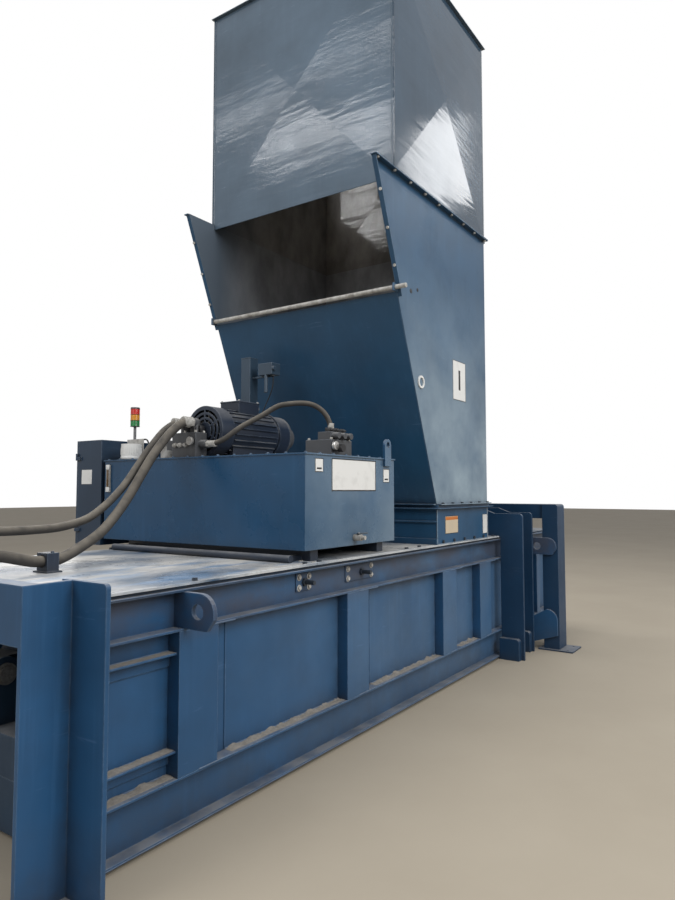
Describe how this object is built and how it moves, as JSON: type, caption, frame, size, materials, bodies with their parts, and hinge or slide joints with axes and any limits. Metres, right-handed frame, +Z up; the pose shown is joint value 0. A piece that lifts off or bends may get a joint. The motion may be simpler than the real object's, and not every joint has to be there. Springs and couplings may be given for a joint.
{
  "type": "horizontal recycling baler",
  "caption": "Horizontal baler: ram box with channel rails and side posts, tall feed hopper with a window, oil tank and motor on the deck, tie frames and exit frame.",
  "frame": {"origin": "on the floor, at the middle of the machine's length, on its centre line", "axes": "+X from the cylinder end to the bale exit, +Z up, +Y to the control cabinet's side"},
  "size_m": [6.95, 3.032, 6.126],
  "materials": {
    "frame_paint": "semi-gloss blue paint, dusty on level faces",
    "hopper_paint": "satin blue paint on sheet steel",
    "tank_paint": "semi-gloss blue paint",
    "deck_paint": "pale scuffed paint under dust, bright at its edges",
    "inner_paint": "dark dusty blue paint",
    "dark_paint": "dark navy paint",
    "worn_steel": "steel rubbed bare by the bale",
    "bright_steel": "machined",
    "zinc_steel": "zinc plated, dull",
    "chrome_rod": "hard chrome",
    "cast_grey": "painted casting",
    "shoe_bronze": "plain",
    "hose_rubber": "dusty",
    "lamp_plastic": "clear coloured lenses",
    "sign_sheet": "printed sheet left blank",
    "black_plastic": "moulded",
    "red_plastic": "moulded",
    "white_plastic": "moulded",
    "lever_paint": "red enamel"
  },
  "bodies": {
    "frame": {"rear_frame": "frame_paint", "cylinder_beam": "inner_paint", "side_walls": "frame_paint", "top_rails": "frame_paint", "bottom_rails": "frame_paint", "side_stiffeners": "frame_paint", "floor_plate": "worn_steel", "cross_members": "inner_paint", "roof_plates": "inner_paint", "deck_plates": "deck_paint", "tie_frames": "frame_paint", "exit_frame": "frame_paint", "flap_hinge": "bright_steel", "tension_cylinders": "dark_paint", "lifting_lugs": "frame_paint", "shear_blade": "bright_steel", "cylinder_barrel": "dark_paint", "base_pin": "bright_steel", "cylinder_pipes": "zinc_steel", "feed_collar": "hopper_paint", "hopper_side_left": "hopper_paint", "hopper_side_right": "hopper_paint", "hopper_front": "hopper_paint", "hopper_back": "hopper_paint", "window_bar": "zinc_steel", "hood_front": "hopper_paint", "hood_left": "hopper_paint", "hood_right": "hopper_paint", "hood_back": "hopper_paint", "hood_roof": "hopper_paint", "bolts": "zinc_steel", "oil_tank": "tank_paint", "tank_skids": "tank_paint", "tank_fittings": "zinc_steel", "drive_motor": "dark_paint", "pump": "cast_grey", "valve_stack": "cast_grey", "main_valve": "cast_grey", "hose_base_end": "hose_rubber", "hose_rod_end": "hose_rubber", "hose_stack": "hose_rubber", "hose_clamp": "dark_paint", "cabinet": "dark_paint", "stack_light": "lamp_plastic", "sensor_unit": "tank_paint", "sign_plates": "sign_sheet"},
    "ram": {"ram_body": "worn_steel", "ram_blade": "bright_steel", "ram_shoes": "shoe_bronze", "piston_rod": "chrome_rod", "rod_pin": "bright_steel"},
    "flap": {"tension_flap": "inner_paint"},
    "tension_rod_pair": {"tension_rods": "bright_steel"},
    "rotor": {"motor_rotor": "bright_steel"},
    "door": {"cabinet_door": "dark_paint"},
    "handle": {"door_handle": "black_plastic"},
    "stop": {"stop_button": "red_plastic"},
    "cap": {"filler_cap": "white_plastic"},
    "drain": {"drain_lever": "lever_paint"},
    "knob": {"relief_knob": "black_plastic"}
  },
  "joints": [
    {"name": "ram_slide", "type": "slide", "parent": "frame", "child": "ram", "axis": [1, 0, 0], "range_m": [0, 1.43]},
    {"name": "flap_turn", "type": "hinge", "parent": "frame", "child": "flap", "pos_m": [1.6595, 0, 1.236], "axis": [0, 1, 0], "range_deg": [0, 6]},
    {"name": "tension_rod_slide", "type": "slide", "parent": "frame", "child": "tension_rod_pair", "axis": [0, 0, -1], "range_m": [0, 0.0665]},
    {"name": "motor_spin", "type": "hinge", "parent": "frame", "child": "rotor", "pos_m": [-1.315, 0.135, 2.094], "axis": [1, 0, 0], "continuous": true},
    {"name": "door_hinge", "type": "hinge", "parent": "frame", "child": "door", "pos_m": [-1.595, 1.429, 1.222], "axis": [0, 0, 1], "range_deg": [0, 110]},
    {"name": "handle_turn", "type": "hinge", "parent": "door", "child": "handle", "pos_m": [-0.895, 1.44, 1.641], "axis": [0, 1, 0], "range_deg": [0, 90]},
    {"name": "stop_press", "type": "slide", "parent": "door", "child": "stop", "axis": [0, -1, 0], "range_m": [0, 0.006], "stiffness_N_per_m": 800, "springref_m": -0.002},
    {"name": "cap_turn", "type": "hinge", "parent": "frame", "child": "cap", "pos_m": [-1.475, 0.895, 1.895], "axis": [0, 0, 1], "range_deg": [0, 60]},
    {"name": "drain_turn", "type": "hinge", "parent": "frame", "child": "drain", "pos_m": [-1.006, -0.946, 1.329], "axis": [0, 0, -1], "range_deg": [0, 90]},
    {"name": "relief_turn", "type": "hinge", "parent": "frame", "child": "knob", "pos_m": [-1.135, -0.888, 1.945], "axis": [0, -1, 0], "range_deg": [0, 270]}
  ],
  "couplings": [
    {"joint": "tension_rod_slide", "follows": "flap_turn", "m_per_rad": 0.634}
  ]
}
